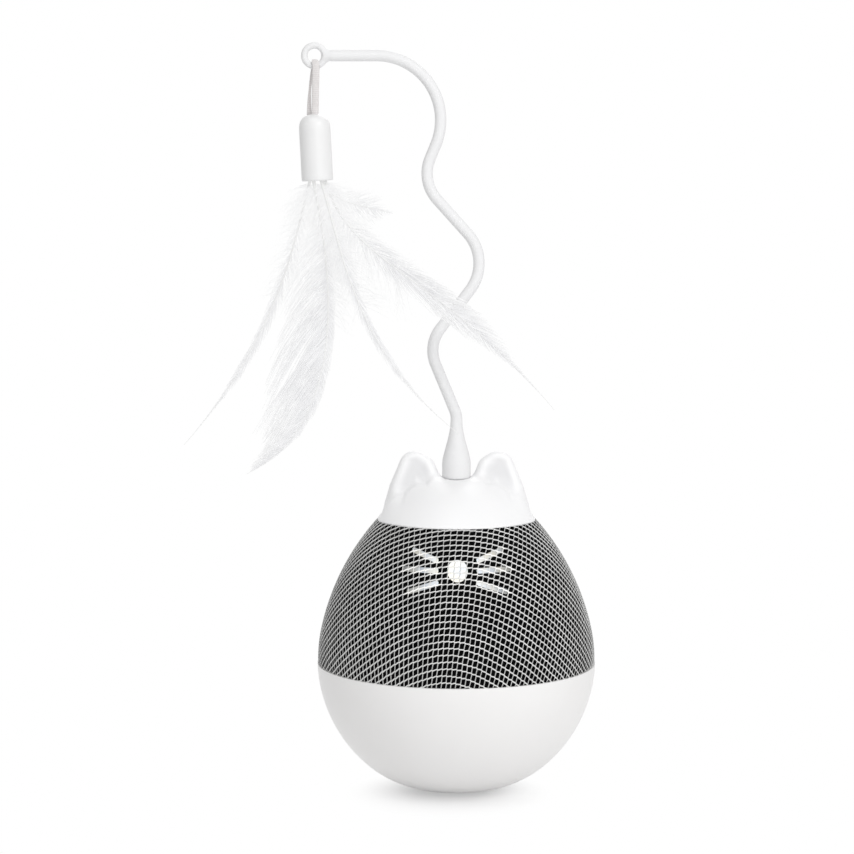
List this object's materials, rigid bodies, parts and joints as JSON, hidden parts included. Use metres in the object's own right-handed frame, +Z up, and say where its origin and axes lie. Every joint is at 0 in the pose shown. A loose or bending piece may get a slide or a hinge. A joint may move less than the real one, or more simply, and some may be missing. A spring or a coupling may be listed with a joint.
{
  "type": "light-up wobble teaser for cats",
  "caption": "Weighted self-righting cat teaser: round bowl, net-covered egg with a lit face, eared cap, and a springy wavy wand with a hanging feather tuft.",
  "frame": {"origin": "centre of the flat foot, on the surface it stands on", "axes": "+Z up, the lit face looks along -Y, +X to the face's own left (right in a front view)"},
  "size_m": [0.1401, 0.095, 0.2529],
  "materials": {
    "white_plastic": "satin moulded white",
    "white_rubber": "smooth matte white",
    "grey_rubber": "matte pale grey",
    "black_plastic": "matte black",
    "net_fabric": "open knitted net",
    "clear_plastic": "lit, frosted clear",
    "grey_plastic": "matte moulded",
    "cast_weight": "rough cast",
    "steel": "plated",
    "cell_wrap": "shrink wrap",
    "board": "solder mask",
    "elastic": "ribbed elastic",
    "glue": "set glue",
    "feather": "soft white feather"
  },
  "bodies": {
    "body": {"lower_shell": "white_plastic", "base_weight": "cast_weight", "weight_screws": "steel", "chassis_plate": "grey_plastic", "chassis_screws": "steel", "battery_cell": "cell_wrap", "battery_strap": "black_plastic", "strap_screws": "steel", "control_board": "board", "board_screws": "steel", "tilt_switch": "steel", "tact_switch": "black_plastic", "charge_socket": "steel", "inner_shell": "black_plastic", "net_sleeve": "net_fabric", "nose_lens": "clear_plastic", "whisker_guides": "clear_plastic", "light_board": "board", "face_lights": "clear_plastic", "light_screws": "steel", "top_cap": "white_plastic", "cap_screws": "steel", "socket_bush": "grey_rubber"},
    "button": {"power_button": "white_plastic"},
    "flap": {"charge_flap": "grey_rubber"},
    "plug": {"wand_plug": "white_plastic"},
    "wand": {"wand_rod": "white_rubber", "wand_ring": "white_rubber"},
    "hanger": {"hanger_loop": "elastic"},
    "teaser": {"feather_ferrule": "white_plastic", "feather_binder": "glue", "main_plume": "feather", "left_plume": "feather", "right_plume": "feather", "mid_plume": "feather", "short_plume": "feather", "down_tuft": "feather"}
  },
  "joints": [
    {"name": "button_press", "type": "slide", "parent": "body", "child": "button", "axis": [-0.5299, -0.848, 0], "range_m": [0, 0.0009], "stiffness_N_per_m": 250, "springref_m": -0.001},
    {"name": "flap_open", "type": "hinge", "parent": "body", "child": "flap", "pos_m": [-0.0079, 0.0457, 0.0344], "axis": [0, 0.2158, 0.9764], "range_deg": [0, 100]},
    {"name": "wand_unplug", "type": "slide", "parent": "body", "child": "plug", "axis": [0, 0, 1], "range_m": [0, 0.018]},
    {"name": "wand_flex", "type": "hinge", "parent": "plug", "child": "wand", "pos_m": [0, 0, 0.12285], "axis": [0, 1, 0], "range_deg": [-15, 15], "stiffness_Nm_per_rad": 0.25, "springref_deg": 0.34},
    {"name": "loop_swing", "type": "hinge", "parent": "wand", "child": "hanger", "pos_m": [-0.04763, 0, 0.24502], "axis": [1, 0, 0], "range_deg": [-60, 5]},
    {"name": "teaser_swing", "type": "hinge", "parent": "hanger", "child": "teaser", "pos_m": [-0.04763, 0, 0.22372], "axis": [0, 1, 0], "range_deg": [-15, 60]}
  ]
}
